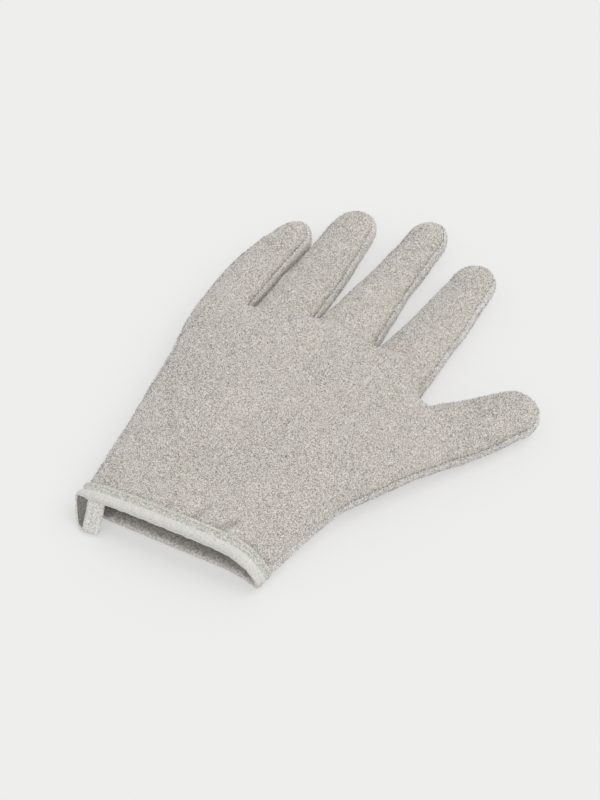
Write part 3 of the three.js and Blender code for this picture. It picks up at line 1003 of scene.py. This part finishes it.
def binding_profile():
    """The folded tape's section: distance in from the rim, and height over the panel's face."""
    outside = [(8.5, -0.1), (8.5, 0.3), (8.1, 0.6), (7.3, 0.75), (6.3, 0.7), (5.3, 0.6), (4.6, 0.45),
               (4.1, 0.2), (3.8, 0.45), (3.4, 0.95), (2.8, 1.35), (2.0, 1.6), (1.3, 1.65)]
    nose = [(0.9 - 2.2 * math.cos(a), -0.5 + 2.15 * math.sin(a))
            for a in np.radians((75, 60, 45, 30, 15, 0, -15, -30, -45, -60))]
    inside = [(0.9, -2.6), (2.6, -2.7), (4.8, -2.75), (6.9, -2.75), (8.3, -2.7), (8.5, -2.4), (8.2, -2.1)]
    slot = [(4, -2.1), (1.4, -2.1), (1.0, -1.0), (1.4, 0.1), (4, 0.1)]
    return outside + nose + inside + slot


BINDING_RINGS = 420
BINDING_TAPE, BINDING_BAND, BINDING_LIP, BINDING_INSIDE = range(4)


def add_binding():
    """The folded tape, lofted round the opening."""
    count = BINDING_RINGS
    turns = even_turns(count)
    rings = []
    phase = np.arange(count) / count * 2 * math.pi
    # The tape is slightly uneven along its length, most where it stands free of the panel.
    ripple = 0.16 * np.sin(phase * 23 + 0.8 * np.sin(phase * 5)) + 0.12 * np.sin(phase * 41 + 1.3)
    for inwards, grow in binding_profile():
        loose = 1 if grow > 0.3 or inwards < 0 else 0.25
        rings.append(at_rim(turns, inwards + 0.25 * ripple * loose, grow + 0.8 * ripple * loose))
    rings = np.stack(rings, 1)
    steps = rings.shape[1]
    points = rings.reshape(-1, 3)
    i, j = np.meshgrid(np.arange(count), np.arange(steps), indexing="ij")
    i, j = i.ravel(), j.ravel()
    ni, nj = (i + 1) % count, (j + 1) % steps
    faces = np.stack([i * steps + j, i * steps + nj, ni * steps + nj, ni * steps + j], 1)
    low = points[faces].mean(1)[:, 2] < LIP_TOP
    kind = np.where(j < BAND_STEPS, BINDING_BAND, BINDING_TAPE)
    # the lower faces get the lip's colour, which is partly painted shade
    kind[(j >= BAND_STEPS) & low] = BINDING_LIP
    kind[(j >= TUBE_END) & ~low] = BINDING_INSIDE
    materials = [binding_tape, binding_band, binding_lip_shaded, knit]
    piece = new_piece("binding", points, faces, materials, shades=kind)
    attach(piece, "hand")
    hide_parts("wrist_binding")
    return piece, turns


binding, binding_turns = add_binding()


TOPSTITCH_INWARDS = 6.8         # from the rim
TOPSTITCH_HEIGHT = 0.62         # over the panel's face
TOPSTITCH_PITCH = 3
TOPSTITCH_LENGTH = 2.3
TOPSTITCH_RADIUS = 0.34


def add_topstitch():
    """The line of stitches round the binding."""
    round_trip = np.r_[binding_turns, binding_turns[0]]
    line = at_rim(round_trip, TOPSTITCH_INWARDS, TOPSTITCH_HEIGHT)
    out = at_rim(round_trip, TOPSTITCH_INWARDS, TOPSTITCH_HEIGHT + 1) - line
    points, faces = stitch_mesh(line, out, TOPSTITCH_PITCH, TOPSTITCH_LENGTH, TOPSTITCH_RADIUS)
    piece = new_piece("binding_stitches", points, faces, [edge_thread])
    attach(piece, "hand")
    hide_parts("binding_topstitch")
    return piece


topstitch = add_topstitch()


# ---------------------------------------------------------------- hanging loop

def catmull_rom(points, count):
    """A smooth curve through the points."""
    points = np.array(points, float)
    ends = np.vstack([2 * points[0] - points[1], points, 2 * points[-1] - points[-2]])
    out = []
    for t in np.linspace(0, len(points) - 1 - 1e-6, count):
        i, f = int(t), t % 1
        p0, p1, p2, p3 = ends[i:i + 4]
        out.append(0.5 * (2 * p1 + (p2 - p0) * f + (2 * p0 - 5 * p1 + 4 * p2 - p3) * f * f
                          + (3 * p1 - p0 - 3 * p2 + p3) * f ** 3))
    return resample(np.array(out), LOOP_STEP)


def add_loop():
    """The hanging loop: a soft flat strap along its path, with painted shade on its inner face."""
    path = catmull_rom(LOOP_PATH, 200)
    width = np.array((math.cos(LOOP_TURN), math.sin(LOOP_TURN), 0))
    sides = LOOP_SIDES
    points = []
    for i, centre in enumerate(path):
        tangent = path[min(i + 1, len(path) - 1)] - path[max(i - 1, 0)]
        normal = np.cross(width, tangent)
        normal /= np.linalg.norm(normal)
        for k in range(sides):
            turn = 2 * math.pi * k / sides
            cos, sin = math.cos(turn), math.sin(turn)
            across = LOOP_WIDTH / 2 * math.copysign(abs(cos) ** 0.7, cos)
            rise = LOOP_THICKNESS / 2 * math.copysign(abs(sin) ** 0.9, sin)
            points.append(centre + width * across + normal * rise)
    faces = []
    for i in range(len(path) - 1):
        for k in range(sides):
            n = (k + 1) % sides
            faces.append((i * sides + k, (i + 1) * sides + k, (i + 1) * sides + n, i * sides + n))
    faces.append(tuple(range(sides)))
    faces.append(tuple(range((len(path) - 1) * sides, len(path) * sides))[::-1])
    turns = [2 * math.pi * (k + 0.5) / sides for k in range(sides)]
    # the inner face takes the dark material: painted shade inside the loop
    shaded_inner_face = [int(math.sin(t) > 0.6 and math.cos(t) > -0.62) for t in turns]
    shades = shaded_inner_face * (len(path) - 1) + [0, 0]
    piece = new_piece("loop_strap", np.array(points), faces, [loop_tape, loop_painted_shade], shades=shades)
    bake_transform(piece)
    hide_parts("hanging_loop")
    return piece


loop_strap = add_loop()


# ---------------------------------------------------------------- flat sizes of the cut cloth, in metres

PANEL_CUTS = {                  # width, length and the area of the rounded outline
    "hand": {"back": (0.172, 0.163, 0.0198), "palm": (0.176, 0.166, 0.0214)},
    "index": {"back": (0.030, 0.072, 0.0019), "palm": (0.046, 0.074, 0.0030)},
    "middle": {"back": (0.031, 0.084, 0.0021), "palm": (0.045, 0.086, 0.0034)},
    "ring": {"back": (0.029, 0.072, 0.0018), "palm": (0.046, 0.074, 0.0030)},
    "little": {"back": (0.025, 0.060, 0.0013), "palm": (0.045, 0.062, 0.0024)},
    "thumb": {"back": (0.038, 0.061, 0.0020), "palm": (0.046, 0.062, 0.0026)},
}


def declare_sheets():
    for owner, cuts in PANEL_CUTS.items():
        for side, (width, length, area) in cuts.items():
            pieces = [piles[owner, side]]
            if side == "back":
                pieces += seam_pieces[owner]
            if (owner, side) == ("hand", "palm"):
                pieces.append(lining)


declare_sheets()
